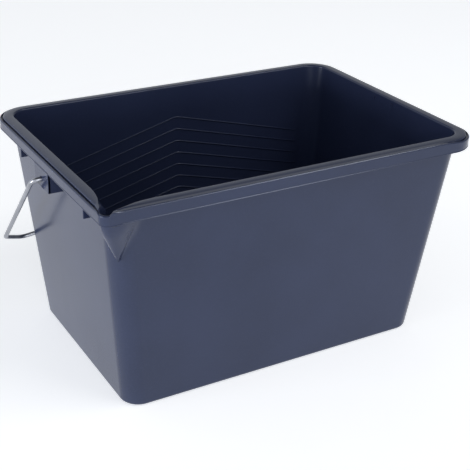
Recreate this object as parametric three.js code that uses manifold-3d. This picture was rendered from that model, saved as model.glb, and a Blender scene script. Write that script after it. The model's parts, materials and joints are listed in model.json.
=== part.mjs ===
// Rectangular paint roller tub: one moulded plastic tub with a corner spout and roller ribs,
// a steel wire bail that pivots in two end brackets, and a loose plastic grip on the bail.
// Units are millimetres, +Z is up. The origin is on the floor below the middle of the tub,
// +X runs along the long side, and the spout is at the corner with the lowest X and Y.
import * as THREE from 'three';
import { ConvexGeometry } from 'three/addons/geometries/ConvexGeometry.js';
import { mergeVertices } from 'three/addons/utils/BufferGeometryUtils.js';
import Module from 'manifold-3d';

const wasm = await Module();
wasm.setup();

// ---- driving dimensions -------------------------------------------------------------------
// tub body
const rimLength = 360;          // outer face of the rim skirt, along X
const rimWidth = 250;           // outer face of the rim skirt, along Y
const skirtTop = 197;           // height of the rim skirt's upper edge
const lipRise = 2;              // how far the rounded lip stands above the skirt
const wallThickness = 2.4;
const floorThickness = 2.8;
const endTaper = 19.75;         // how far each end wall leans in from rim to floor
const sideTaper = 17.1;         // how far each long wall leans in from rim to floor
const rimCornerRadius = 28.5;   // plan radius of the skirt
const wallTopRadius = 19.2;     // plan radius of the wall's outer face at the rim
const baseRadius = 17.3;        // plan radius of the wall's outer face at the floor
const baseEdgeRadius = 3;       // outer rounding between wall and floor
const floorFillet = 5;          // inner rounding between wall and floor

// rim
const rimOverhang = 10.3;       // from the wall's outer face out to the skirt's outer face
const skirtDrop = 9;            // height of the skirt
const skirtThickness = 2.2;
const rimPlate = 2.4;           // thickness of the flat part of the rim
const edgeBreak = 0.6;          // small bevel on the skirt's edges
const ledgeWidth = 1.6;         // narrow step between the skirt's upper edge and the groove
const grooveDepth = 1.4;
const grooveWidth = 1.2;
const lipRound = 1.8;           // bevel run of the lip on both sides

// roller ribs on the back wall
const ribTopDrop = 28.6;        // from the skirt's upper edge down to the top rib's peak
const ribFloorMargin = 24;      // the ends of the lowest rib stay at least this high
const ribPitch = 12;
const ribEndInset = 39;         // from the skirt's outer face in to the end of a rib
const ribSlopeDegrees = 14.4;
const ribWidth = 1.8;
const ribCrest = 0.9;
const ribDepth = 1.2;           // how far a rib stands off the wall

// spout
const spoutDepth = 49;          // from the skirt's upper edge down to the spout's tip
const spoutFlush = 24;          // how far along the long side the spout is level with the skirt
const spoutRunLong = 23;        // how far the spout runs along the long wall, past its corner
const spoutRunEnd = 11;         // how far the spout runs along the end wall, past its corner
const lipCutFlush = 9;          // the same three lengths for the stretch where the lip is cut away
const lipCutLong = 32;
const lipCutEnd = 37;
const pourDrop = 0.9;           // from the skirt's upper edge down to the floor of that cut
const spoutCornerRadius = 8;    // plan radius of the spout's corner
const spoutBulge = 1.5;         // how far the spout's tip stands off the wall's corner

// gussets and bail brackets under the rim
const gussetThickness = 2.2;
const gussetDrop = 8;           // how far a gusset reaches below the skirt
const frontGussetInset = 38;    // from the long side's skirt in to the middle of a gusset
const backGussetInset = 76;
const bracketWidth = 30;
const bracketPlate = 2.4;
const pivotDrop = 9;            // from the skirt's lower edge down to the bail's axis
const bracketBelowPivot = 8;    // from the bail's axis down to the bracket's lower edge

// bail
const wireDiameter = 4;
const boreClearance = 0.5;      // radial play of the wire in the bracket
const headStep = 1.5;           // how far the wire's upset end stands out all round
const headLength = 2;
const headPlay = 1.2;           // from the head to the inside of the bracket plate
const pinStraight = 0.9;        // straight wire between the bracket and its first bend
const legLean = 7;              // how far a leg comes in from its top to its corner
const rimPassing = 29;          // from the long skirt's face to the wire as the bail goes over it
const legShort = 5.5;           // how much nearer the axis a leg's corner is than the middle
const shoulderDip = 6.8;        // how much further from the axis a shoulder is than the middle
const shoulderInset = 18.5;     // from the bracket's face in to the shoulder
const middleInset = 33;         // from the bracket's face in to the straight middle
const pinBend = 7;              // bend radii along the wire
const cornerBend = 5;
const shoulderBend = 12;
const middleBend = 18;

// grip
const gripDiameter = 16;
const gripLength = 100;
const gripPlay = 0.4;           // radial play of the grip on the wire
const gripEdge = 2;             // rounding at the ends of the grip
const grooveCount = 7;          // shallow finger grooves around the grip
const fingerGroove = 0.8;
const restGap = 0.3;            // from the hanging grip to the back wall

// fineness of the faceted model
const cornerSteps = 8;
const wireSides = 12;
const bendSteps = 5;
const gripSides = 24;
const boreSides = 24;
const overlap = 0.6;            // how far joined pieces of one moulding run into each other

// ---- worked out from the above ------------------------------------------------------------
const skirtBottom = skirtTop - skirtDrop;
const rimUnderside = skirtTop - rimPlate;
const pivotHeight = skirtBottom - pivotDrop;
const bracketDrop = pivotDrop + bracketBelowPivot;
const ribReach = rimLength / 2 - ribEndInset;
const bracketFace = rimLength / 2;
const gripReach = rimWidth / 2 + rimPassing;

// ---- general helpers ----------------------------------------------------------------------
function solidOf(geometry) {
  const bare = geometry.clone();
  bare.deleteAttribute('normal');
  bare.deleteAttribute('uv');
  const merged = mergeVertices(bare, 1e-4);
  const vertProperties = new Float32Array(merged.attributes.position.array);
  const triVerts = new Uint32Array(merged.index.array);
  return new wasm.Manifold(new wasm.Mesh({ numProp: 3, vertProperties, triVerts }));
}

function geometryOf(solid) {
  const { vertProperties, triVerts } = solid.getMesh();
  const geometry = new THREE.BufferGeometry();
  geometry.setAttribute('position', new THREE.BufferAttribute(vertProperties, 3));
  geometry.setIndex(new THREE.BufferAttribute(triVerts, 1));
  geometry.computeVertexNormals();
  return geometry;
}

// A closed skin over a row of point loops, each with the same number of points.
function skinOver(loops) {
  const count = loops[0].length;
  const corners = loops.flat().flatMap((point) => [point.x, point.y, point.z]);
  const faces = [];
  for (let row = 0; row < loops.length - 1; row += 1) {
    for (let i = 0; i < count; i += 1) {
      const a = row * count + i;
      const b = row * count + ((i + 1) % count);
      faces.push(a, b, b + count, a, b + count, a + count);
    }
  }
  const last = (loops.length - 1) * count;
  for (let i = 1; i < count - 1; i += 1) {
    faces.push(0, i + 1, i);
    faces.push(last, last + i, last + i + 1);
  }
  const geometry = new THREE.BufferGeometry();
  geometry.setAttribute('position', new THREE.Float32BufferAttribute(corners, 3));
  geometry.setIndex(faces);
  return geometry;
}

function boxBetween(low, high) {
  const geometry = new THREE.BoxGeometry(high.x - low.x, high.y - low.y, high.z - low.z);
  return geometry.translate((low.x + high.x) / 2, (low.y + high.y) / 2, (low.z + high.z) / 2);
}

// The same fitting at the other end of the tub, turned half a turn about +Z.
function turnedRound(solid) {
  return solidOf(geometryOf(solid).rotateZ(Math.PI));
}

// ---- the tub ------------------------------------------------------------------------------
// One level loop of the tub: a rounded rectangle, set in from the skirt's outer face.
function roundedLoop(insetX, insetY, radius, height) {
  const halfX = rimLength / 2 - insetX;
  const halfY = rimWidth / 2 - insetY;
  const points = [];
  const centres = [[1, 1], [-1, 1], [-1, -1], [1, -1]];
  centres.forEach(([signX, signY], quarter) => {
    for (let step = 0; step <= cornerSteps; step += 1) {
      const angle = (quarter + step / cornerSteps) * Math.PI / 2;
      const x = signX * (halfX - radius) + radius * Math.cos(angle);
      const y = signY * (halfY - radius) + radius * Math.sin(angle);
      points.push(new THREE.Vector3(x, y, height));
    }
  });
  return points;
}

// How far the outer face of an end wall, or of a long wall, is set in at a height.
function endWallInset(height) {
  return rimOverhang + endTaper * (1 - height / skirtTop);
}

function longWallInset(height) {
  return rimOverhang + sideTaper * (1 - height / skirtTop);
}

// A loop on the wall, sunk below its outer face by some depth.
function wallLoop(height, depth) {
  const outerRadius = THREE.MathUtils.lerp(baseRadius, wallTopRadius, height / skirtTop);
  const radius = outerRadius - depth;
  return roundedLoop(endWallInset(height) + depth, longWallInset(height) + depth, radius, height);
}

// A loop on the rim, at a distance in from the skirt's outer face.
function rimLoop(inset, height) {
  const shrink = (rimCornerRadius - wallTopRadius) / rimOverhang;
  return roundedLoop(inset, inset, rimCornerRadius - inset * shrink, height);
}

// The tub as a filled block: wall, skirt and lip, closed flat across the top.
function tubBlock() {
  const roundCut = 1 - Math.SQRT1_2;
  const lipTop = skirtTop + lipRise;
  const lipFoot = ledgeWidth + grooveWidth;
  const loops = [
    wallLoop(0, baseEdgeRadius),
    wallLoop(baseEdgeRadius * roundCut, baseEdgeRadius * roundCut),
    wallLoop(baseEdgeRadius, 0),
    wallLoop(rimUnderside, 0),
    rimLoop(skirtThickness, rimUnderside),
    rimLoop(skirtThickness, skirtBottom),
    rimLoop(edgeBreak, skirtBottom),
    rimLoop(0, skirtBottom + edgeBreak),
    rimLoop(0, skirtTop - edgeBreak),
    rimLoop(edgeBreak, skirtTop),
    rimLoop(ledgeWidth, skirtTop),
    rimLoop(lipFoot, skirtTop - grooveDepth),
    rimLoop(lipFoot + lipRound, lipTop - lipRise * roundCut),
    rimLoop(lipFoot + 2 * lipRound, lipTop),
  ];
  return solidOf(skinOver(loops));
}

// The space inside the tub, from the floor out through the rounded mouth.
function tubInside() {
  const roundCut = 1 - Math.SQRT1_2;
  const lipTop = skirtTop + lipRise;
  const mouth = rimOverhang + wallThickness;
  const loops = [
    wallLoop(floorThickness, wallThickness + floorFillet),
    wallLoop(floorThickness + floorFillet * roundCut, wallThickness + floorFillet * roundCut),
    wallLoop(floorThickness + floorFillet, wallThickness),
    wallLoop(lipTop - lipRound, wallThickness),
    rimLoop(mouth - lipRound * roundCut, lipTop - lipRound * roundCut),
    rimLoop(mouth - lipRound, lipTop),
    rimLoop(mouth - lipRound - overlap, lipTop + overlap),
  ];
  return solidOf(skinOver(loops));
}

// The plan of the squared-off corner, measured from the two skirts' outer faces.
function cornerOutline(inset, flush, runLong, runEnd) {
  const endWall = endWallInset(skirtBottom) + inset;
  const longWall = longWallInset(skirtBottom) + inset;
  const radius = spoutCornerRadius - inset;
  const outline = [
    new THREE.Vector2(endWall, longWall + runEnd),
    new THREE.Vector2(endWall + runLong, longWall),
    new THREE.Vector2(flush, inset),
  ];
  for (let step = 0; step <= cornerSteps; step += 1) {
    const angle = (step / cornerSteps) * Math.PI / 2;
    const x = inset + radius * (1 - Math.cos(angle));
    const y = inset + radius * (1 - Math.sin(angle));
    outline.push(new THREE.Vector2(x, y));
  }
  return outline;
}

// A hull that stands on the corner's plan between two heights, with a point below it if given.
function cornerHull(outline, low, high, tips) {
  const points = outline.flatMap(({ x, y }) => [
    new THREE.Vector3(x - rimLength / 2, y - rimWidth / 2, low),
    new THREE.Vector3(x - rimLength / 2, y - rimWidth / 2, high),
  ]);
  return solidOf(new ConvexGeometry([...points, ...tips]));
}

// The spout's lowest point, on the diagonal of the wall's corner.
function spoutTip(inset) {
  const height = skirtTop - spoutDepth + inset;
  const wallRadius = THREE.MathUtils.lerp(baseRadius, wallTopRadius, height / skirtTop);
  const cut = wallRadius * (1 - Math.SQRT1_2) - (spoutBulge - inset) * Math.SQRT1_2;
  return new THREE.Vector3(
    -rimLength / 2 + endWallInset(height) + cut,
    -rimWidth / 2 + longWallInset(height) + cut,
    height,
  );
}

function spoutShell() {
  const outline = cornerOutline(0, spoutFlush, spoutRunLong, spoutRunEnd);
  return cornerHull(outline, skirtBottom, skirtTop, [spoutTip(0)]);
}

// What is cut out for the spout: the channel down the corner, and the lip beside it.
function spoutCut() {
  const overTheLip = skirtTop + lipRise + overlap;
  const channel = cornerOutline(wallThickness, spoutFlush, spoutRunLong, spoutRunEnd);
  const lipCut = cornerOutline(wallThickness, lipCutFlush, lipCutLong, lipCutEnd);
  return cornerHull(channel, skirtTop, overTheLip, [spoutTip(wallThickness)])
    .add(cornerHull(lipCut, skirtTop - pourDrop, overTheLip, []));
}

// How far the ends of a rib are below its peak, along the back wall.
function ribFall() {
  return ribReach * Math.tan(THREE.MathUtils.degToRad(ribSlopeDegrees));
}

// One V-shaped rib on the inner face of the back wall, as a bar with three cross sections.
function rollerRib(peakHeight) {
  const lean = Math.atan(sideTaper / skirtTop);
  const wallFace = rimWidth / 2 - rimOverhang - sideTaper - wallThickness;
  const section = [
    [ribWidth / 2, -overlap],
    [ribCrest / 2, ribDepth],
    [-ribCrest / 2, ribDepth],
    [-ribWidth / 2, -overlap],
  ];
  const loops = [-ribReach, 0, ribReach].map((x) => {
    const drop = ribFall() * Math.abs(x) / ribReach;
    return section.map(([along, out]) => {
      const climb = peakHeight / Math.cos(lean) - drop + along;
      const y = wallFace + climb * Math.sin(lean) - out * Math.cos(lean);
      const z = climb * Math.cos(lean) + out * Math.sin(lean);
      return new THREE.Vector3(x, y, z);
    });
  });
  return solidOf(skinOver(loops));
}

// All the ribs, from the top one down for as long as they clear the floor.
function rollerRibs() {
  const topRib = skirtTop - ribTopDrop;
  let ribs = rollerRib(topRib);
  for (let peak = topRib - ribPitch; peak - ribFall() >= ribFloorMargin; peak -= ribPitch) {
    ribs = ribs.add(rollerRib(peak));
  }
  return ribs;
}

// A fin that ties the rim to the left end wall.
function gusset(centreY, drop) {
  const bottom = skirtBottom - drop;
  const wallX = -rimLength / 2 + endWallInset(bottom);
  const half = gussetThickness / 2;
  const low = new THREE.Vector3(-rimLength / 2 + edgeBreak, centreY - half, bottom);
  const high = new THREE.Vector3(wallX + overlap, centreY + half, rimUnderside + overlap);
  return solidOf(boxBetween(low, high));
}

// The left bail bracket: a plate hanging from the skirt on two fins, bored for the wire.
function bailBracket() {
  const bottom = skirtBottom - bracketDrop;
  const low = new THREE.Vector3(-bracketFace, -bracketWidth / 2, bottom);
  const high = new THREE.Vector3(
    -bracketFace + bracketPlate,
    bracketWidth / 2,
    skirtBottom + edgeBreak + overlap,
  );
  const finPlace = (bracketWidth - gussetThickness) / 2;
  const boreRadius = wireDiameter / 2 + boreClearance;
  const bore = new THREE.CylinderGeometry(boreRadius, boreRadius, 4 * bracketPlate, boreSides);
  bore.rotateZ(Math.PI / 2).translate(-bracketFace, 0, pivotHeight);
  return solidOf(boxBetween(low, high))
    .add(gusset(finPlace, bracketDrop))
    .add(gusset(-finPlace, bracketDrop))
    .subtract(solidOf(bore));
}

function endFittings() {
  return bailBracket()
    .add(gusset(frontGussetInset - rimWidth / 2, gussetDrop))
    .add(gusset(rimWidth / 2 - backGussetInset, gussetDrop));
}

function tub() {
  const solid = tubBlock()
    .add(spoutShell())
    .add(endFittings())
    .add(turnedRound(endFittings()))
    .subtract(tubInside())
    .subtract(spoutCut())
    .add(rollerRibs());
  return geometryOf(solid);
}

// ---- the bail -----------------------------------------------------------------------------
// How far the hanging bail leans back from straight down, with its grip against the back wall.
function hangAngle() {
  const lean = Math.atan(sideTaper / skirtTop);
  const faceAtPivot = rimWidth / 2 - longWallInset(pivotHeight);
  const standOff = faceAtPivot * Math.cos(lean) + gripDiameter / 2 + restGap;
  return Math.asin(standOff / gripReach) - lean;
}

// A path through the corner points, with each corner bent to its radius.
function bentPath(corners) {
  const path = new THREE.Path();
  path.moveTo(corners[0].x, corners[0].y);
  for (let i = 1; i < corners.length - 1; i += 1) {
    const corner = new THREE.Vector2(corners[i].x, corners[i].y);
    const back = new THREE.Vector2(corners[i - 1].x, corners[i - 1].y).sub(corner).normalize();
    const on = new THREE.Vector2(corners[i + 1].x, corners[i + 1].y).sub(corner).normalize();
    const trim = corners[i].bend / Math.tan(back.angleTo(on) / 2);
    const start = corner.clone().addScaledVector(back, trim);
    const end = corner.clone().addScaledVector(on, trim);
    path.lineTo(start.x, start.y);
    path.quadraticCurveTo(corner.x, corner.y, end.x, end.y);
  }
  const last = corners[corners.length - 1];
  path.lineTo(last.x, last.y);
  return path;
}

// The wire's corners in its own plane: x along the axis, y away from the axis.
function bailCorners() {
  const pinEnd = bracketFace - bracketPlate - headPlay - headLength / 2;
  const legTop = bracketFace + pinStraight + pinBend;
  const half = [
    { x: pinEnd, y: 0 },
    { x: legTop, y: 0, bend: pinBend },
    { x: legTop - legLean, y: gripReach - legShort, bend: cornerBend },
    { x: bracketFace - shoulderInset, y: gripReach + shoulderDip, bend: shoulderBend },
    { x: bracketFace - middleInset, y: gripReach, bend: middleBend },
  ];
  const other = half.map((corner) => ({ ...corner, x: -corner.x })).reverse();
  return [...half, ...other];
}

// A round wire along a flat path, as a skin over circles set square to the path.
function wireAlong(path) {
  const points = path.getPoints(bendSteps);
  const loops = points.map((point, i) => {
    const before = points[Math.max(i - 1, 0)];
    const after = points[Math.min(i + 1, points.length - 1)];
    const into = point.clone().sub(before).normalize();
    const out = after.clone().sub(point).normalize();
    const along = into.add(out).normalize();
    const side = new THREE.Vector3(-along.y, along.x, 0);
    const loop = [];
    for (let k = 0; k < wireSides; k += 1) {
      const angle = k / wireSides * 2 * Math.PI;
      const spot = new THREE.Vector3(point.x, point.y, Math.sin(angle) * wireDiameter / 2);
      loop.push(spot.addScaledVector(side, Math.cos(angle) * wireDiameter / 2));
    }
    return loop;
  });
  return solidOf(skinOver(loops));
}

function wireHead(side) {
  const centre = side * (bracketFace - bracketPlate - headPlay - headLength / 2);
  const radius = wireDiameter / 2 + headStep;
  const head = new THREE.CylinderGeometry(radius, radius, headLength, boreSides);
  return solidOf(head.rotateZ(Math.PI / 2).translate(centre, 0, 0));
}

// From the wire's own plane to the hanging bail: out along y becomes down and back.
function hungUp(geometry) {
  geometry.rotateX(-Math.PI / 2 + hangAngle());
  return geometry.translate(0, 0, pivotHeight);
}

function bailWire() {
  const wire = wireAlong(bentPath(bailCorners())).add(wireHead(1)).add(wireHead(-1));
  return hungUp(geometryOf(wire));
}

function bailGrip() {
  const outer = gripDiameter / 2;
  const bore = wireDiameter / 2 + gripPlay;
  const half = gripLength / 2;
  const profile = new THREE.Path();
  profile.moveTo(bore, -half);
  profile.lineTo(outer - gripEdge, -half);
  profile.quadraticCurveTo(outer, -half, outer, -half + gripEdge);
  const pitch = (gripLength - 4 * gripEdge) / grooveCount;
  for (let i = 0; i < grooveCount; i += 1) {
    const start = -half + 2 * gripEdge + i * pitch;
    profile.lineTo(outer, start);
    profile.quadraticCurveTo(outer - 2 * fingerGroove, start + pitch / 2, outer, start + pitch);
  }
  profile.lineTo(outer, half - gripEdge);
  profile.quadraticCurveTo(outer, half, outer - gripEdge, half);
  profile.lineTo(bore, half);
  profile.lineTo(bore, -half);
  const grip = new THREE.LatheGeometry(profile.getPoints(bendSteps), gripSides);
  return hungUp(grip.rotateZ(Math.PI / 2).translate(0, gripReach, 0));
}

// ---- the assembly -------------------------------------------------------------------------
function namedMesh(name, geometry, color, roughness, metalness) {
  const material = new THREE.MeshStandardMaterial({ color, roughness, metalness });
  const mesh = new THREE.Mesh(geometry, material);
  mesh.name = name;
  return mesh;
}

const group = new THREE.Group();
group.add(namedMesh('tub', tub(), 0x1c1f30, 0.35, 0));
group.add(namedMesh('bail_wire', bailWire(), 0xa9adb4, 0.35, 1));
group.add(namedMesh('bail_grip', bailGrip(), 0x17181d, 0.5, 0));

export default group;
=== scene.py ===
"""Looks of the paint roller tub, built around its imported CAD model.

Lengths named in this file are millimetres, and meshes are scaled to metres as they are made.
"""
import json
import math

import bmesh
import bpy
import numpy as np
from mathutils import Matrix, Vector


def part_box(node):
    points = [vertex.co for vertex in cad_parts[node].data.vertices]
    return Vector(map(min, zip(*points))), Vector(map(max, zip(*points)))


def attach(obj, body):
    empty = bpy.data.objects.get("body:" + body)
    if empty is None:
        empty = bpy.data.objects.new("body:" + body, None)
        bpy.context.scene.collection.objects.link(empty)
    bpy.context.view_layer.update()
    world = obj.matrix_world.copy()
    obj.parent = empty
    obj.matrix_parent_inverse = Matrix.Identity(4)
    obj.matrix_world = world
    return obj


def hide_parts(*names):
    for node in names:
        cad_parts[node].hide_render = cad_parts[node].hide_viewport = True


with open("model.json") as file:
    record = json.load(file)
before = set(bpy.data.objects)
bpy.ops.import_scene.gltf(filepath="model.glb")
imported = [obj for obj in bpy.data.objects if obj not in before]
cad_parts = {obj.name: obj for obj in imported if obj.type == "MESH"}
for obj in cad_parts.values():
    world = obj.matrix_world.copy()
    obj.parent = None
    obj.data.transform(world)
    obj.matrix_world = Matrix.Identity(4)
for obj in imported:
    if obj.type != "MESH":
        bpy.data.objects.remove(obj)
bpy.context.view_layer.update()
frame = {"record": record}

MM = 0.001

# ---- sizes that the CAD model has too -----------------------------------------------------
TUB_LOW, TUB_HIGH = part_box("tub")
GRIP_LOW, GRIP_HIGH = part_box("bail_grip")
SWING = next(j for j in frame["record"]["behaviour"]["joints"] if j["name"] == "bail_swing")

LIP_TOP = TUB_HIGH.z / MM
HALF_X = (TUB_HIGH.x - TUB_LOW.x) / 2 / MM
HALF_Y = (TUB_HIGH.y - TUB_LOW.y) / 2 / MM
LIP_RISE = 2
SKIRT_DEPTH = 9
SKIRT_TOP = LIP_TOP - LIP_RISE
SKIRT_BOTTOM = SKIRT_TOP - SKIRT_DEPTH
PIVOT_Z = SWING["pos_m"][2] / MM
WALL = 2.4
FLOOR = 2.8
END_TAPER = 19.75
SIDE_TAPER = 17.1
RIM_RADIUS = 28.5
TOP_RADIUS = 19.2
BASE_RADIUS = 17.3
BASE_EDGE = 3
FLOOR_FILLET = 5
OVERHANG = 10.3
MOUTH = OVERHANG + WALL
SKIRT = 2.2
PLATE_UNDERSIDE = SKIRT_TOP - WALL

# ---- the spout ------------------------------------------------------------------------------
SPOUT_RADIUS = 8
SPOUT_DEPTH = 49
SPOUT_BULGE = 1.5
SPOUT_FLUSH = 24            # the spout's face is level with the skirt as far as this
SPOUT_RUN_LONG = 23
SPOUT_RUN_END = 11
SPOUT_BEND_BEFORE = 15      # the flush face starts to bend this far before its end
SPOUT_BEND_AFTER = 0.95     # and has bent at this share of the slanted face's run
SPOUT_RUN_ON = 4            # the slanted faces run on into the wall, to this multiple
SPOUT_WIDENING = 1.07       # how fast the spout widens above its tip, with an eased end
SPOUT_WIDENING_EASE = 0.3
SMALLEST_RADIUS = 1.2
SOFT_FRONT = 8.5            # how softly the spout meets the wall along the front
SOFT_END = 1.6              # and at the end
NO_SPOUT = -1e3             # the reach of a ray that doesn't meet the spout
PARALLEL = 1e-9
POUR_EDGE_Z = SKIRT_TOP - 1.2
POUR_BELOW = 3.7            # where the lip is narrower than this, it is lowered for pouring
TIP_SINK = 1.1              # how far the spout's tip sinks back into the wall
TIP_FADE = 9                # and how far above the tip that starts
TIP_BLUNT = 0.1             # how wide the spout's lowest point is, as a share of its mouth
STEP = 1.65                 # how far the lip's outer edge is above the skirt's
SKIRT_STRETCH = 5.1         # where there is no groove, this much of the skirt reaches up to it
GROOVE_FROM = 312           # along the front the groove comes back from here
GROOVE_OVER = 36
GROOVE_AT_CORNER = 0.8
LIP_KEPT = 4.6              # the outer part of the rim keeps its shape where the lip narrows
CUT_LONG = (5, 46)          # where the lip's cut starts and ends, from the left end
CUT_END = (7, 50)           # the same from the front

# ---- the rim's underside --------------------------------------------------------------------
HOLLOW_FROM = 3             # the rim is hollow underneath where it stands out further than this
HOLLOW_OVER = 4             # and reaches its full hollow over this much more
UNDER_FILLET = 1.2
# The skirt's lower edge as (inset, height above it), with a small bead on the outer face.
SKIRT_INNER_EDGE = ((SKIRT, 3), (SKIRT, 0.9), (2.08, 0.4), (1.75, 0.1))
SKIRT_OUTER_EDGE = ((1.4, 0), (0.8, 0), (0.4, 0.08), (0.12, 0.2), (0, 0.4), (0, 0.7),
                    (0.29, 0.99), (0.29, 1.4))

# ---- ribs -----------------------------------------------------------------------------------
RIB_COUNT = 10
RIB_TOP = 168.4
RIB_PITCH = 12
RIB_REACH = 141
RIB_SLOPE = math.radians(14.4)
RIB_RUN_OUT = 3             # a rib sinks into the wall over this much at each end
RIB_ROOT = 0.5              # and is sunk this deep into it all along
# Across the rib from its upper side to its lower: (height from its middle, how far it stands out).
RIB_SECTION = ((0.92, -0.5), (0.8, 0.33), (0.62, 0.62), (0.3, 0.94), (0.1, 1.03), (-0.15, 1.06),
               (-0.45, 0.92), (-0.68, 0.62), (-0.82, 0.27), (-0.92, -0.5))

# ---- brackets and gussets -------------------------------------------------------------------
BRACKET_HALF = 15
BRACKET_PLATE = 2.4         # thickness of the plate that the wire passes through
BRACKET_DROP = 17           # from the skirt's lower edge down to the bracket's
BORE_RADIUS = 2.5           # of the hole for the wire
WEB = 2.2                   # thickness of the webs and gussets
WEB_PLACE = 13.9            # from the middle of the end to a web
GUSSET_DROP = 8
GUSSET_PLACES = (87, 49)    # from the middle of the end to the two gussets


def lerp(a, b, t):
    return a + (b - a) * t


def ease(t):
    t = np.clip(t, 0, 1)
    return t * t * (3 - 2 * t)


def smooth_max(a, b, softness):
    near = np.maximum(softness - np.abs(a - b), 0) / softness
    return np.maximum(a, b) + near * near * softness / 4


def smooth_min(a, b, softness):
    return -smooth_max(-a, -b, softness)


# ---- the points of a level loop -------------------------------------------------------------
class Loop:
    """The same points on every level loop: four corners and the four sides between them."""

    def __init__(self):
        even = np.linspace(0, 1, 17)
        spread = np.linspace(-1, 1, 45)
        spout = 0.5 + 0.5 * np.sign(spread) * np.abs(spread) ** 1.25
        corners = [even, even, spout, even]
        sides = [
            np.linspace(0, 1, 38)[1:-1],
            np.concatenate([np.linspace(0, 0.84, 22)[1:], np.linspace(0.84, 1, 20)[1:-1]]),
            np.concatenate([np.linspace(0, 0.18, 36)[1:], np.linspace(0.18, 1, 30)[1:-1]]),
            np.linspace(0, 1, 26)[1:-1],
        ]
        first, second, share, angle = [], [], [], []
        for q in range(4):
            for s in corners[q]:
                first.append(q), second.append(q), share.append(0), angle.append(q + s)
            for s in sides[q]:
                first.append(q), second.append((q + 1) % 4), share.append(s), angle.append(q + 1)
        sign_x, sign_y = np.array([1, -1, -1, 1]), np.array([1, 1, -1, -1])
        share = np.array(share)
        turn = np.array(angle) * math.pi / 2
        self.count = len(share)
        self.fx = lerp(sign_x[first], sign_x[second], share)
        self.fy = lerp(sign_y[first], sign_y[second], share)
        self.nx, self.ny = np.cos(turn), np.sin(turn)
        self.spout = (np.array(first) == 2) & (np.array(second) == 2)
        self.front = self.ny < -0.99
        self.along_front = np.abs(self.ny) > np.abs(self.nx)

    def origin(self, inset_x, inset_y, radius):
        return self.fx * (HALF_X - inset_x - radius), self.fy * (HALF_Y - inset_y - radius)

    def at(self, inset_x, inset_y, radius, reach, z):
        x, y = self.origin(inset_x, inset_y, radius)
        return np.stack([x + self.nx * reach, y + self.ny * reach, z + 0 * x], 1)


LOOP = Loop()


def squared(radius, small):
    """How far a ray from the middle of a rounded corner goes when its radius is a small one."""
    a, b = np.abs(LOOP.nx), np.abs(LOOP.ny)
    flat = radius - small
    side = radius / np.maximum(a, b)
    root = np.sqrt(np.maximum(small**2 - (flat * (a - b)) ** 2, 0))
    return np.where(np.minimum(a, b) * side <= flat, side, flat * (a + b) + root)


def rim_ring(inset, z):
    """A loop on the rim, at a distance in from the skirt's outer face."""
    radius = RIM_RADIUS - inset * (RIM_RADIUS - TOP_RADIUS) / OVERHANG
    small = np.maximum(SPOUT_RADIUS - inset, SMALLEST_RADIUS)
    reach = np.where(LOOP.spout, squared(radius, small), radius)
    return LOOP.at(inset, inset, radius, reach, z)


def end_inset(z):
    return OVERHANG + END_TAPER * (1 - z / SKIRT_TOP)


def long_inset(z):
    return OVERHANG + SIDE_TAPER * (1 - z / SKIRT_TOP)


def spout_tip(depth):
    z = SKIRT_TOP - SPOUT_DEPTH + depth
    radius = lerp(BASE_RADIUS, TOP_RADIUS, z / SKIRT_TOP)
    cut = radius * (1 - math.sqrt(0.5)) - (SPOUT_BULGE - depth) * math.sqrt(0.5)
    return np.array([end_inset(z) + cut, long_inset(z) + cut]), z


def spout_plan(depth, tip, grow):
    """The spout's outline from above at one height, drawn in towards the tip by a share."""
    ex, ey = end_inset(SKIRT_BOTTOM) + depth, long_inset(SKIRT_BOTTOM) + depth
    small = SPOUT_RADIUS - depth
    begin, bend = np.array((SPOUT_FLUSH - SPOUT_BEND_BEFORE, depth)), np.array((SPOUT_FLUSH, depth))
    foot = np.array((ex + SPOUT_RUN_LONG, ey))
    end = lerp(bend, foot, SPOUT_BEND_AFTER)
    corner = np.array((depth, depth + small))
    plan = [lerp(corner, np.array((ex, ey + SPOUT_RUN_END)), SPOUT_RUN_ON)]
    for t in np.linspace(0, math.pi / 2, 9):
        plan.append((depth + small * (1 - math.cos(t)), depth + small * (1 - math.sin(t))))
    for t in np.linspace(0.1, 1, 10):
        plan.append((1 - t) ** 2 * begin + 2 * t * (1 - t) * bend + t * t * end)
    plan.append(lerp(bend, foot, SPOUT_RUN_ON))
    return tip + grow * (np.array(plan) - tip)


def spout_reach(inset_x, inset_y, radius, depth, z):
    """How far a ray from each point of the loop goes before it leaves the spout, at one height."""
    tip, tip_z = spout_tip(depth)
    if z <= tip_z:
        return np.full(LOOP.count, NO_SPOUT)
    share = (z - tip_z) / (SKIRT_BOTTOM + depth - tip_z)
    grow = float(smooth_min(math.hypot(share * SPOUT_WIDENING, TIP_BLUNT), 1.0,
                            SPOUT_WIDENING_EASE))
    plan = spout_plan(depth, tip, grow)
    edge = np.roll(plan, -1, 0) - plan
    out = np.stack([edge[:, 1], -edge[:, 0]], 1)
    out *= np.sign(((plan - plan.mean(0)) * out).sum(1))[:, None]
    x, y = LOOP.origin(inset_x, inset_y, radius)
    start = np.stack([x + HALF_X, y + HALF_Y], 1)
    ray = np.stack([LOOP.nx, LOOP.ny], 1)
    towards = ray @ out.T
    room = ((plan[None] - start[:, None]) * out[None]).sum(2)
    with np.errstate(divide="ignore", invalid="ignore"):
        cross = room / towards
    leave = np.where(towards > PARALLEL, cross, np.inf).min(1)
    enter = np.where(towards < -PARALLEL, cross, -np.inf).max(1)
    beside = (np.abs(towards) <= PARALLEL) & (room < 0)
    hit = (enter < leave) & (leave > 0) & ~beside.any(1)
    sunk = TIP_SINK * (1 - ease((z - tip_z) / TIP_FADE))
    return np.where(hit, leave - sunk, NO_SPOUT)


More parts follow.
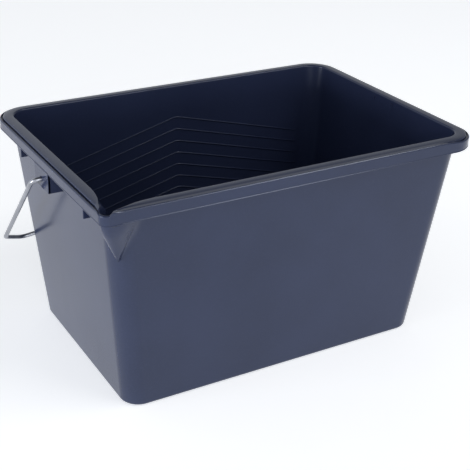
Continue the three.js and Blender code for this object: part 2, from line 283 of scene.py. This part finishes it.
def wall_ring(depth, z):
    """A loop on the wall, sunk below its outer face by a depth, with the spout's bulge."""
    radius = lerp(BASE_RADIUS, TOP_RADIUS, z / SKIRT_TOP) - depth
    ix, iy = end_inset(z) + depth, long_inset(z) + depth
    softness = np.where(LOOP.along_front, SOFT_FRONT, SOFT_END)
    reach = smooth_max(radius, spout_reach(ix, iy, radius, depth, z), softness)
    return LOOP.at(ix, iy, radius, reach, z)


# ---- the tub's rim --------------------------------------------------------------------------
def lip_inset():
    """How far in the lip's inner edge is at each point: the lip is cut away towards the spout."""
    rim = rim_ring(np.zeros(LOOP.count), 0)
    along = np.where(LOOP.along_front, rim[:, 0] + HALF_X, rim[:, 1] + HALF_Y)
    low = np.where(LOOP.along_front, CUT_LONG[0], CUT_END[0])
    high = np.where(LOOP.along_front, CUT_LONG[1], CUT_END[1])
    share = np.clip((along - low) / (high - low), 0, 1)
    cut = WALL + (MOUTH - WALL) * np.sin(share * math.pi / 2)
    near = (rim[:, 0] < 0) & (rim[:, 1] < 0) & (LOOP.ny <= 0.5)
    return np.where(near, cut, MOUTH)


def arc(centre, radius, start, end, count):
    turn = np.radians(np.linspace(start, end, count))
    return [(centre[0] + radius * math.cos(t), centre[1] + radius * math.sin(t)) for t in turn]


def under_rim_rings(lip):
    """The rim from below: up the wall, out under the plate and down inside the skirt."""
    foot = wall_ring(0, SKIRT_BOTTOM)
    skirt_face = rim_ring(np.zeros(LOOP.count), SKIRT_BOTTOM)
    ray = np.stack([LOOP.nx, LOOP.ny], 1)
    gap = ((skirt_face - foot)[:, :2] * ray).sum(1)
    hollow = ease((gap - HOLLOW_FROM) / HOLLOW_OVER)[:, None]
    top = np.maximum(lip - WALL, SKIRT + 0.1)
    fillet = np.minimum(UNDER_FILLET, (top - SKIRT) * 0.4)
    rings = []

    def add(spot):
        rings.append(lerp(foot, spot, hollow))

    wall_top = rim_ring(top, PLATE_UNDERSIDE - fillet)
    for share in (0.25, 0.5, 0.75, 1):
        add(lerp(foot, wall_top, share))
    for turn in (30, 60, 90):
        out = top - fillet * (1 - math.cos(math.radians(turn)))
        add(rim_ring(out, PLATE_UNDERSIDE - fillet * (1 - math.sin(math.radians(turn)))))
    for turn in (0, 30, 60, 90):
        out = SKIRT + fillet * (1 - math.sin(math.radians(turn)))
        add(rim_ring(out, PLATE_UNDERSIDE - fillet * (1 - math.cos(math.radians(turn)))))
    squeeze = np.clip(gap / SKIRT, 0, 1)
    for inset, rise in SKIRT_INNER_EDGE:
        add(rim_ring(inset * squeeze, SKIRT_BOTTOM + rise))
    for inset, rise in SKIRT_OUTER_EDGE:
        rings.append(rim_ring(inset * squeeze, SKIRT_BOTTOM + rise * squeeze))
    return rings, squeeze


def groove_share():
    """How deep the groove is at each point: full round the rim, but nearly lost along the front."""
    along = rim_ring(np.zeros(LOOP.count), 0)[:, 0] + HALF_X
    front = GROOVE_AT_CORNER * ease((along - GROOVE_FROM) / GROOVE_OVER)
    turn = np.arctan2(-LOOP.ny, -LOOP.nx) / (math.pi / 2)
    corner = lerp(1, 0, ease((turn - 0.15) / 0.5))
    last = lerp(GROOVE_AT_CORNER, 1, ease(np.arctan2(LOOP.nx, -LOOP.ny) / (math.pi / 2)))
    share = np.where(LOOP.front, front, 1.0)
    share = np.where(LOOP.spout, corner, share)
    return np.where((LOOP.nx > 0) & (LOOP.ny < 0) & ~LOOP.front, last, share)


def top_profile():
    """The rim's section from the skirt's outer face over the groove and the lip to the mouth."""
    t = SKIRT_TOP
    points = [(0.25, t - 6.4), (0.19, t - 4.4), (0.15, t - 2.6), (0.13, t - 1.3)]
    points += [(0.16, t - 0.82), (0.3, t - 0.62), (0.88, t - 0.05), (1.05, t)]
    points += [(1.2, t), (1.4, t - 0.12), (1.5, t - 0.5), (1.55, t - 1.1), (1.7, t - 1.5)]
    points += [(2.0, t - 1.65), (2.5, t - 1.65), (2.8, t - 1.4), (2.92, t - 0.8), (3.0, t + 0.1)]
    points += [(3.12, t + 0.7), (3.4, t + 1.15), (3.9, t + 1.45), (LIP_KEPT, t + 1.65)]
    points += [(5.6, t + 1.8), (6.8, t + 1.93), (8.2, t + 2), (9.4, t + 2), (10.2, t + 1.97)]
    points += arc((MOUTH - 1.7, t + 0.2), 1.75, 80, 0, 8)
    return points


def top_rings(lip, squeeze):
    points = top_profile()
    groove = groove_share()
    kept = np.minimum(LIP_KEPT, 0.6 * lip + 0.4)
    pour = ease((POUR_BELOW - lip) / (POUR_BELOW - WALL))
    body = 3
    last = len(points) - body - 1
    rings = []
    for k, (inset, z) in enumerate(points):
        if inset <= LIP_KEPT:
            at = inset / LIP_KEPT * kept
        else:
            at = lerp(kept, lip, min(1, (inset - LIP_KEPT) / (MOUTH - LIP_KEPT)))
        rise = z
        if inset < 0.3:
            at = at * squeeze
        if inset < LIP_KEPT:
            up = min(1.0, (z - points[0][1]) / SKIRT_STRETCH) if inset <= 1.2 else 1.0
            plain = z + up * STEP if inset <= 1.2 else SKIRT_TOP + STEP
            rise = lerp(plain, z, groove)
        if k >= body:
            turn = math.pi * (k - body) / last
            at = lerp(at, WALL / 2 * (1 - math.cos(turn)), pour)
            rise = lerp(rise, POUR_EDGE_Z + WALL / 2 * math.sin(turn) - 0.4, pour)
        rings.append(rim_ring(at, rise))
    return rings


def inner_top_rings(lip, edge):
    """From the lip's inner edge down to the height of the skirt's lower edge."""
    foot = wall_ring(WALL, SKIRT_BOTTOM)
    bend = 1 + 0.8 * ease((MOUTH - lip) / 4)
    rings = []
    for share in (0.9, 0.78, 0.64, 0.5, 0.36, 0.24, 0.12):
        at = foot + (edge - foot) * (share ** bend)[:, None]
        at[:, 2] = lerp(foot[:, 2], edge[:, 2], share)
        rings.append(at)
    rings.append(foot)
    return rings


# ---- meshes ---------------------------------------------------------------------------------
def mesh_object(name, vertices, faces):
    mesh = bpy.data.meshes.new(name)
    mesh.from_pydata([Vector(v) * MM for v in vertices], [], faces)
    made = bpy.data.objects.new(name, mesh)
    bpy.context.scene.collection.objects.link(made)
    return made


def skin(rings, closed_ends=True):
    """Faces over a stack of loops, with the first and last loop drawn together to a point."""
    count = len(rings[0])
    vertices = [tuple(p) for ring in rings for p in ring]
    faces = []
    for row in range(len(rings) - 1):
        for i in range(count):
            a, b = row * count + i, row * count + (i + 1) % count
            faces.append((a, b, b + count, a + count))
    if closed_ends:
        for row, flip in ((0, True), (len(rings) - 1, False)):
            middle = len(vertices)
            vertices.append(tuple(np.mean(rings[row], 0)))
            for i in range(count):
                a, b = row * count + i, row * count + (i + 1) % count
                faces.append((b, a, middle) if flip else (a, b, middle))
    return vertices, faces


def cleaned(made, distance=0.02):
    work = bmesh.new()
    work.from_mesh(made.data)
    bmesh.ops.remove_doubles(work, verts=work.verts, dist=distance * MM)
    bmesh.ops.dissolve_degenerate(work, edges=work.edges, dist=distance * MM / 4)
    bmesh.ops.recalc_face_normals(work, faces=work.faces)
    work.to_mesh(made.data)
    work.free()
    return made


def tub_rings():
    rings = []
    base = wall_ring(BASE_EDGE, 0)
    for share in (0.3, 0.6, 0.85, 0.96):
        rings.append(base * share)
    for turn in (0, 15, 30, 45, 60, 75, 90):
        out = BASE_EDGE * (1 - math.sin(math.radians(turn)))
        rings.append(wall_ring(out, BASE_EDGE * (1 - math.cos(math.radians(turn)))))
    tip_z = spout_tip(0)[1]
    rings += [wall_ring(0, z) for z in np.concatenate([
        np.linspace(BASE_EDGE + 1, tip_z - 6, 20), np.arange(tip_z - 4, tip_z, 1.0),
        np.linspace(tip_z, tip_z + 4, 9), np.linspace(tip_z + 5, SKIRT_BOTTOM, 26)])]
    lip = lip_inset()
    below, squeeze = under_rim_rings(lip)
    rings += below
    top = top_rings(lip, squeeze)
    rings += top
    rings += inner_top_rings(lip, top[-1])
    inner_tip = spout_tip(WALL)[1]
    rings += [wall_ring(WALL, z) for z in np.concatenate([
        np.linspace(SKIRT_BOTTOM - 1.5, inner_tip + 4, 22),
        np.linspace(inner_tip + 3, inner_tip, 6),
        np.arange(inner_tip - 1, inner_tip - 4, -1.0),
        np.linspace(inner_tip - 6, FLOOR + FLOOR_FILLET + 1, 20)])]
    for turn in (90, 75, 60, 45, 30, 15, 0):
        out = FLOOR_FILLET * (1 - math.sin(math.radians(turn)))
        rise = FLOOR_FILLET * (1 - math.cos(math.radians(turn)))
        rings.append(wall_ring(WALL + out, FLOOR + rise))
    inner = rings[-1]
    for share in (0.96, 0.85, 0.6, 0.3):
        rings.append(np.stack([inner[:, 0] * share, inner[:, 1] * share, inner[:, 2]], 1))
    return rings


def rib(peak, index):
    """One rib on the inside of the back wall, rounded across and run out at both ends."""
    lean = math.atan(SIDE_TAPER / SKIRT_TOP)
    face = HALF_Y - OVERHANG - SIDE_TAPER - WALL
    xs = np.concatenate([[-RIB_REACH, -RIB_REACH + 0.6, -RIB_REACH + 1.6],
                         np.linspace(-RIB_REACH + 4, -6, 12), [-3, -1.5, 0]])
    xs = np.concatenate([xs, -xs[-2::-1]])
    rings = []
    for x in xs:
        drop = math.tan(RIB_SLOPE) * math.sqrt(x * x + 4)
        end = min(1, math.sqrt(max(0.0, (RIB_REACH - abs(x)) / RIB_RUN_OUT)) * 0.85 + 0.15)
        ring = []
        for across, height in RIB_SECTION:
            out = (height + RIB_ROOT) * end - RIB_ROOT
            climb = peak / math.cos(lean) - drop + across
            ring.append((x, face + climb * math.sin(lean) - out * math.cos(lean),
                         climb * math.cos(lean) + out * math.sin(lean)))
        ring.append((x, ring[-1][1] + RIB_ROOT, ring[-1][2]))
        ring.append((x, ring[0][1] + RIB_ROOT, ring[0][2]))
        rings.append(np.array(ring))
    return cleaned(mesh_object(f"rib_{index}", *skin(rings)), 0.001)


def slab(name, low, high, bevel):
    """A plain block with rounded edges."""
    work = bmesh.new()
    bmesh.ops.create_cube(work, size=1)
    for v in work.verts:
        v.co = Vector([lerp(low[i], high[i], v.co[i] + 0.5) * MM for i in range(3)])
    bmesh.ops.bevel(work, geom=work.edges[:], offset=bevel * MM, segments=3, profile=0.5,
                    affect="EDGES")
    mesh = bpy.data.meshes.new(name)
    work.to_mesh(mesh)
    work.free()
    made = bpy.data.objects.new(name, mesh)
    bpy.context.scene.collection.objects.link(made)
    return made


def rod(name, radius, start, end, sides=48):
    """A round bar along X at the height of the bail's axis."""
    turn = np.linspace(0, 2 * math.pi, sides, endpoint=False)
    rings = [np.stack([0 * turn + x, radius * np.cos(turn), PIVOT_Z + radius * np.sin(turn)], 1)
             for x in (start, end)]
    return cleaned(mesh_object(name, *skin(rings)))


def boolean(made, others, operation):
    group = bpy.data.collections.new(made.name + "_" + operation.lower())
    for other in others:
        group.objects.link(other)
    change = made.modifiers.new("join", "BOOLEAN")
    change.operation = operation
    change.operand_type = "COLLECTION"
    change.collection = group
    change.solver = "EXACT"
    change.use_self = False
    graph = bpy.context.evaluated_depsgraph_get()
    mesh = bpy.data.meshes.new_from_object(made.evaluated_get(graph))
    made.modifiers.clear()
    made.data = mesh
    for other in others:
        bpy.data.objects.remove(other)
    bpy.data.collections.remove(group)
    return made


def fin(name, side, centre_y, drop):
    """An upright web between the skirt and the end wall, on the left for side -1."""
    bottom = SKIRT_BOTTOM - drop
    outer = HALF_X - 0.25
    inner = HALF_X - end_inset(bottom) - 0.8
    low = (min(side * outer, side * inner), centre_y - WEB / 2, bottom)
    high = (max(side * outer, side * inner), centre_y + WEB / 2, PLATE_UNDERSIDE + 0.6)
    return slab(name, low, high, 0.35)


def end_fittings(side):
    """Bracket plate, its two webs and the two gussets at one end; side -1 is the left end."""
    bottom = SKIRT_BOTTOM - BRACKET_DROP
    edge, back = side * HALF_X, side * (HALF_X - BRACKET_PLATE)
    low = (min(edge, back), -BRACKET_HALF, bottom)
    high = (max(edge, back), BRACKET_HALF, SKIRT_BOTTOM + 1.4)
    plate = slab(f"plate_{side}", low, high, 0.4)
    bore = rod(f"bore_{side}", BORE_RADIUS, side * (HALF_X - 9), side * (HALF_X + 9))
    boolean(plate, [bore], "DIFFERENCE")
    return [
        plate,
        fin(f"web_a_{side}", side, side * WEB_PLACE, BRACKET_DROP),
        fin(f"web_b_{side}", side, -side * WEB_PLACE, BRACKET_DROP),
        fin(f"gusset_a_{side}", side, side * GUSSET_PLACES[0], GUSSET_DROP),
        fin(f"gusset_b_{side}", side, -side * GUSSET_PLACES[1], GUSSET_DROP),
    ]


def shade(made, angle=32):
    """Smooth faces with crisp edges where the shape turns sharply."""
    work = bmesh.new()
    work.from_mesh(made.data)
    limit = math.radians(angle)
    for face in work.faces:
        face.smooth = True
    for edge in work.edges:
        edge.smooth = not (edge.is_manifold and edge.calc_face_angle(0) > limit)
    work.to_mesh(made.data)
    work.free()
    weigh = made.modifiers.new("even_normals", "WEIGHTED_NORMAL")
    weigh.keep_sharp = True
    weigh.weight = 50
    return made


def build_tub():
    made = cleaned(mesh_object("tub_shell", *skin(tub_rings())))
    extras = [rib(RIB_TOP - i * RIB_PITCH, i) for i in range(RIB_COUNT)]
    extras += end_fittings(-1) + end_fittings(1)
    boolean(made, extras, "UNION")
    return shade(made)


# ---- the bail -------------------------------------------------------------------------------
# The bail lies in a plane as (distance from the middle, distance from its axis).
WIRE = 4
PIN_ROOM = 1.2              # the wire goes on behind the bracket's plate by these two lengths
HEAD_SET = 1.0
PIN_END = HALF_X - BRACKET_PLATE - PIN_ROOM - HEAD_SET
LEG_TOP = HALF_X + 7.9
LEG_LEAN = 7                # how far a leg leans in from its top to its foot
LEG_REACH = 148.5
SHOULDER = (161.5, 160.8)
MIDDLE = (147, 154)
BENDS = (7, 5, 12, 18)      # radii of the bends from the pin to the middle
WIRE_SIDES = 24
# The upset head on the wire's end as (distance from its end face, radius). The end face is
# beyond PIN_END by HEAD_SET.
HEAD = ((0, 2.6), (0.35, 3.2), (0.9, 3.5), (1.5, 3.4), (1.9, 2.9), (2.3, 2.2), (2.9, 2.0))
GRIP_RADIUS = 8.0
GRIP_BORE = 2.4             # radius of the hole along it
GRIP_EDGE = 2.0
GRIP_PLAIN = 4              # plain length at each end, before the finger grooves
GRIP_GROOVES = 7
GRIP_GROOVE_DEPTH = 0.8
GRIP_SIDES = 64
GRIP_HALF = (GRIP_HIGH.x - GRIP_LOW.x) / 2 / MM
GRIP_CENTRE = (GRIP_LOW + GRIP_HIGH) / 2
HANG = math.atan2(GRIP_CENTRE.y, PIVOT_Z * MM - GRIP_CENTRE.z)


def rounded_path(corners, step=0.8):
    """Points along straight runs joined by true arcs, and the corners are (x, y, radius)."""
    points = [np.array(corners[0][:2], float)]
    for i in range(1, len(corners) - 1):
        here = np.array(corners[i][:2], float)
        back = np.array(corners[i - 1][:2], float) - here
        on = np.array(corners[i + 1][:2], float) - here
        back, on = back / np.linalg.norm(back), on / np.linalg.norm(on)
        half = math.acos(np.clip(back @ on, -1, 1)) / 2
        radius = corners[i][2]
        trim = radius / math.tan(half)
        middle = back + on
        centre = here + middle / np.linalg.norm(middle) * radius / math.sin(half)
        start, end = here + back * trim - centre, here + on * trim - centre
        sweep = math.pi - 2 * half
        count = max(4, int(radius * sweep / step))
        for k in range(count + 1):
            t = k / count
            spot = (math.sin((1 - t) * sweep) * start + math.sin(t * sweep) * end) / math.sin(sweep)
            points.append(centre + spot)
    points.append(np.array(corners[-1][:2], float))
    return points


def hang(points):
    """From the bail's own plane, with y away from the axis, to where it hangs at rest."""
    turned = Matrix.Rotation(-math.pi / 2 + HANG, 3, "X")
    return [tuple(turned @ Vector(p) + Vector((0, 0, PIVOT_Z))) for p in points]


def build_wire():
    half = [(PIN_END, 0, 0), (LEG_TOP, 0, BENDS[0]), (LEG_TOP - LEG_LEAN, LEG_REACH, BENDS[1]),
            (*SHOULDER, BENDS[2]), (*MIDDLE, BENDS[3])]
    path = rounded_path(half + [(-x, y, r) for x, y, r in reversed(half)])
    first, last = path[0], path[-1]
    start = [first + np.array([d - HEAD_SET, 0]) for d, _ in HEAD]
    end = [last - np.array([d - HEAD_SET, 0]) for d, _ in reversed(HEAD)]
    head = [radius for _, radius in HEAD]
    radii = head + [WIRE / 2] * (len(path) - 2) + head[::-1]
    path = start + path[1:-1] + end
    rings = []
    for i, point in enumerate(path):
        before, after = path[max(i - 1, 0)], path[min(i + 1, len(path) - 1)]
        along = (after - before) / np.linalg.norm(after - before)
        side = np.array([-along[1], along[0]])
        ring = []
        for k in range(WIRE_SIDES):
            turn = 2 * math.pi * k / WIRE_SIDES
            flat = point + side * math.cos(turn) * radii[i]
            ring.append((flat[0], flat[1], math.sin(turn) * radii[i]))
        rings.append(np.array(hang(ring)))
    return shade(cleaned(mesh_object("bail_wire_bent", *skin(rings))), 50)


def build_grip():
    """A turned sleeve with seven finger grooves, rounded ends and a bore for the wire."""
    outer, bore, edge = GRIP_RADIUS, GRIP_BORE, GRIP_EDGE
    profile = [(-GRIP_HALF + 0.5, bore), (-GRIP_HALF + 0.15, bore + 0.15), (-GRIP_HALF, bore + 0.5)]
    profile += [(-GRIP_HALF + edge * (1 - math.cos(t)), outer - edge * (1 - math.sin(t)))
                for t in np.radians(np.linspace(0, 90, 8))]
    rounded_end = len(profile)
    span = 2 * (GRIP_HALF - GRIP_PLAIN)
    for share in np.linspace(0, 1, 85)[1:-1]:
        wave = 0.5 - 0.5 * math.cos(2 * math.pi * GRIP_GROOVES * share)
        profile.append((-span / 2 + span * share, outer - GRIP_GROOVE_DEPTH * wave))
    profile += [(-x, r) for x, r in reversed(profile[:rounded_end])]
    rings = []
    for x, radius in profile:
        turn = np.linspace(0, 2 * math.pi, GRIP_SIDES, endpoint=False)
        ring = np.stack([0 * turn + x, MIDDLE[1] + radius * np.cos(turn), radius * np.sin(turn)], 1)
        rings.append(np.array(hang(ring)))
    vertices, faces = skin(rings, closed_ends=False)
    last = (len(rings) - 1) * GRIP_SIDES
    for i in range(GRIP_SIDES):
        after = (i + 1) % GRIP_SIDES
        faces.append((last + i, last + after, after, i))
    return shade(cleaned(mesh_object("bail_grip_sleeve", vertices, faces)), 40)


# ---- materials ------------------------------------------------------------------------------
class Nodes:
    """A short way to make one material's nodes."""

    def __init__(self, name):
        self.material = bpy.data.materials.new(name)
        self.material.use_nodes = True
        self.tree = self.material.node_tree
        self.shader = self.tree.nodes["Principled BSDF"]
        self.place = self.tree.nodes.new("ShaderNodeTexCoord").outputs["Object"]

    def put(self, kind, links=None, **values):
        node = self.tree.nodes.new(kind)
        for key, value in values.items():
            setattr(node, key, value)
        for key, value in (links or {}).items():
            if isinstance(value, bpy.types.NodeSocket):
                self.tree.links.new(value, node.inputs[key])
            else:
                node.inputs[key].default_value = value
        return node

    def stretched(self, scale):
        return self.put("ShaderNodeMapping", {"Vector": self.place, "Scale": scale}).outputs[0]

    def noise(self, scale, detail=3, rough=0.5, vector=None, distortion=0):
        return self.put("ShaderNodeTexNoise", {
            "Vector": vector or self.place, "Scale": scale, "Detail": detail,
            "Roughness": rough, "Distortion": distortion}).outputs["Fac"]

    def ranged(self, value, low, high, start=0.0, end=1.0):
        return self.put("ShaderNodeMapRange", {
            "Value": value, "From Min": start, "From Max": end, "To Min": low, "To Max": high},
            clamp=True).outputs["Result"]

    def mixed(self, share, first, second):
        node = self.put("ShaderNodeMix", data_type="RGBA")
        for index, value in ((0, share), (6, first), (7, second)):
            if isinstance(value, bpy.types.NodeSocket):
                self.tree.links.new(value, node.inputs[index])
            else:
                node.inputs[index].default_value = value if index == 0 else (*value, 1)
        return node.outputs[2]

    def maths(self, operation, first, second):
        return self.put("ShaderNodeMath", {0: first, 1: second}, operation=operation).outputs[0]

    def bump(self, height, strength, distance, normal=None):
        links = {"Height": height, "Strength": strength, "Distance": distance}
        if normal is not None:
            links["Normal"] = normal
        return self.put("ShaderNodeBump", links).outputs[0]

    def finish(self, links, **values):
        for key, socket in links.items():
            self.tree.links.new(socket, self.shader.inputs[key])
        for key, value in values.items():
            self.shader.inputs[key.replace("_", " ")].default_value = value
        return self.material


def tub_plastic():
    """Dark blue moulded plastic with a faint flow pattern, scuffs and a fine grain."""
    n = Nodes("tub_plastic_looks")
    cloud = n.noise(9, 3, 0.55)
    grain = n.noise(520, 2, 0.6)
    flow = n.noise(7, 4, 0.6, n.stretched((3.2, 3.2, 0.55)), 0.4)
    base = n.mixed(n.ranged(cloud, 0, 1, 0.3, 0.7), (0.0165, 0.0225, 0.051), (0.0215, 0.029, 0.065))
    base = n.mixed(n.ranged(grain, 0, 0.3, 0.5, 0.85), base, (0.03, 0.038, 0.08))
    scuff = n.noise(26, 6, 0.7, n.stretched((1, 1, 4.5)), 1.2)
    rough = n.maths("ADD", n.ranged(flow, 0.13, 0.2, 0.3, 0.7),
                    n.ranged(scuff, 0, 0.06, 0.66, 0.85))
    wave = n.bump(n.noise(14, 2, 0.4), 0.12, 0.0012)
    drag = n.bump(flow, 0.04, 0.0006, wave)
    skin_grain = n.bump(grain, 0.1, 0.00005, drag)
    return n.finish({"Base Color": base, "Roughness": rough, "Normal": skin_grain},
                    IOR=1.3, Specular_Tint=(1.85, 2.0, 2.3, 1))


def zinc_wire():
    """Galvanised steel with a faint spangle."""
    n = Nodes("zinc_wire_looks")
    spangle = n.put("ShaderNodeTexVoronoi", {"Vector": n.place, "Scale": 420}).outputs["Distance"]
    cloud = n.noise(60, 4, 0.6)
    base = n.mixed(n.ranged(cloud, 0, 1, 0.35, 0.7), (0.3, 0.31, 0.34), (0.42, 0.43, 0.47))
    base = n.mixed(n.ranged(spangle, 0.2, 0, 0.1, 0.5), base, (0.24, 0.25, 0.28))
    rough = n.ranged(cloud, 0.26, 0.42, 0.3, 0.7)
    normal = n.bump(n.noise(900, 3, 0.6), 0.2, 0.00005)
    return n.finish({"Base Color": base, "Roughness": rough, "Normal": normal}, Metallic=1.0)


def grip_plastic():
    n = Nodes("grip_plastic_looks")
    cloud = n.noise(40, 3, 0.5)
    grain = n.noise(1500, 2, 0.6)
    base = n.mixed(n.ranged(cloud, 0, 1, 0.3, 0.7), (0.008, 0.0085, 0.011), (0.014, 0.015, 0.019))
    rough = n.ranged(cloud, 0.42, 0.56, 0.3, 0.7)
    normal = n.bump(grain, 0.35, 0.00008)
    return n.finish({"Base Color": base, "Roughness": rough, "Normal": normal}, IOR=1.5)


def floor_paper():
    n = Nodes("floor_paper")
    base = n.mixed(n.noise(30, 4, 0.6), (0.9, 0.9, 0.91), (0.93, 0.93, 0.935))
    return n.finish({"Base Color": base}, Roughness=0.85, Specular_IOR_Level=0.1,
                    Emission_Color=(0.96, 0.98, 1.0, 1), Emission_Strength=0.52)


def dress(made, material, body, node):
    made.data.materials.clear()
    made.data.materials.append(material)
    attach(made, body)
    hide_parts(node)
    return made


# ---- camera, floor and light ----------------------------------------------------------------
CAMERA_TURN = (29.54, 27.79, 1.30)              # azimuth, pitch below level and roll, degrees
CAMERA_PLACE = (-0.43835, -0.73895, 0.51539)    # metres
SENSOR = 36
LENS = 78.47
LENS_SHIFT = (0.0532, 0.0484)
CLIP_END = 50
FLOOR_HALF = 6000


def add_camera():
    azimuth, pitch, roll = map(math.radians, CAMERA_TURN)
    ahead = Vector((math.sin(azimuth) * math.cos(pitch), math.cos(azimuth) * math.cos(pitch),
                    -math.sin(pitch)))
    right = Vector((math.cos(azimuth), -math.sin(azimuth), 0))
    up = right.cross(ahead)
    right_rolled = right * math.cos(roll) + up * math.sin(roll)
    up_rolled = up * math.cos(roll) - right * math.sin(roll)
    data = bpy.data.cameras.new("camera")
    data.sensor_width = SENSOR
    data.lens = LENS
    data.shift_x, data.shift_y = LENS_SHIFT
    data.clip_end = CLIP_END
    camera = bpy.data.objects.new("camera", data)
    turned = Matrix((right_rolled, up_rolled, -ahead)).transposed().to_4x4()
    camera.matrix_world = Matrix.Translation(CAMERA_PLACE) @ turned
    bpy.context.scene.collection.objects.link(camera)
    bpy.context.scene.camera = camera


def add_floor():
    far = FLOOR_HALF
    corners = [(-far, -far, 0), (far, -far, 0), (far, far, 0), (-far, far, 0)]
    made = mesh_object("floor_sheet", corners, [(0, 1, 2, 3)])
    made.data.materials.append(floor_paper())


def add_light(name, place, target, size, power, colour):
    data = bpy.data.lights.new(name, "AREA")
    data.shape = "RECTANGLE"
    data.size, data.size_y = size
    data.energy = power
    data.color = colour
    light = bpy.data.objects.new(name, data)
    light.location = place
    light.rotation_euler = (Vector(target) - Vector(place)).to_track_quat("-Z", "Y").to_euler()
    bpy.context.scene.collection.objects.link(light)


def ramp_node(tree, source, start, end, low, high):
    """A falling or rising value between two values of its source."""
    node = tree.nodes.new("ShaderNodeMapRange")
    for key, value in (("From Min", start), ("From Max", end), ("To Min", low), ("To Max", high)):
        node.inputs[key].default_value = value
    tree.links.new(source, node.inputs["Value"])
    return node.outputs["Result"]


def add_world():
    """A pale studio, bright near the horizon and darker overhead and to the right."""
    world = bpy.data.worlds.new("studio")
    bpy.context.scene.world = world
    world.use_nodes = True
    tree = world.node_tree
    backdrop = tree.nodes["Background"]
    backdrop.inputs["Color"].default_value = (0.92, 0.95, 1.0, 1)
    spot = tree.nodes.new("ShaderNodeTexCoord")
    direction = tree.nodes.new("ShaderNodeSeparateXYZ")
    tree.links.new(spot.outputs["Generated"], direction.inputs[0])
    product = tree.nodes.new("ShaderNodeMath")
    product.operation = "MULTIPLY"
    overhead = ramp_node(tree, direction.outputs["Z"], 0.42, 0.82, 1.0, 0.07)
    to_right = ramp_node(tree, direction.outputs["X"], 0.1, 0.9, 1.0, 0.4)
    tree.links.new(overhead, product.inputs[0])
    tree.links.new(to_right, product.inputs[1])
    tree.links.new(product.outputs[0], backdrop.inputs["Strength"])


dress(build_tub(), tub_plastic(), "tub", "tub")
dress(build_wire(), zinc_wire(), "bail", "bail_wire")
dress(build_grip(), grip_plastic(), "grip", "bail_grip")

add_camera()
add_floor()
add_world()
add_light("strip_front", (0.75, -0.9, 1.55), (0, 0, 0.19), (1.3, 0.3), 8.6, (1.0, 0.99, 0.97))
add_light("fill_front", (-0.5, -2.2, 0.25), (0, 0, 0.12), (1.4, 0.4), 14, (0.97, 0.98, 1.0))
add_light("soft_left", (-2.2, 0.1, 0.2), (0, 0, 0.14), (1.0, 0.34), 28, (0.97, 0.98, 1.0))
bpy.context.scene.view_settings.view_transform = "Standard"
bpy.context.scene.view_settings.look = "None"
